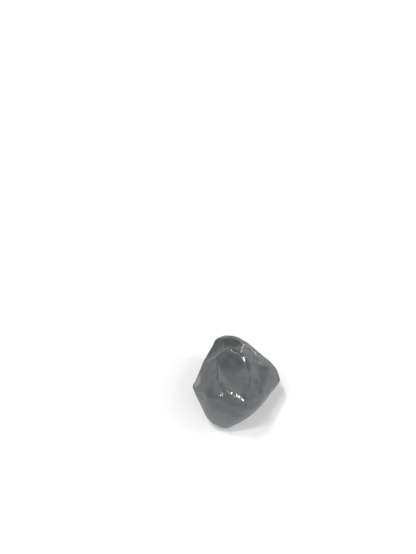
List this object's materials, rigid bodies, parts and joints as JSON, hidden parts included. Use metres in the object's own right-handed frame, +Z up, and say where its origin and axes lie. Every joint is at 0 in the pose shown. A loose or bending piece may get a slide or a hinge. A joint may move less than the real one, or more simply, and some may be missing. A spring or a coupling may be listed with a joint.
{
  "type": "tumbled tektite stone",
  "caption": "Worn lump of opaque black natural glass with a scooped top, rounded ridges, shallow conchoidal hollows and a flat underside that it rests on.",
  "frame": {"origin": "middle of the footprint, on the flat that the stone rests on", "axes": "+Z up, +Y along the stone's length towards its tapered far end, +X to the right as seen from the blunt front end"},
  "size_m": [0.0242, 0.0276, 0.015],
  "materials": {
    "black_glass": "worn glossy, opaque"
  },
  "bodies": {
    "root": {"tumbled_tektite": "black_glass"}
  },
  "joints": []
}
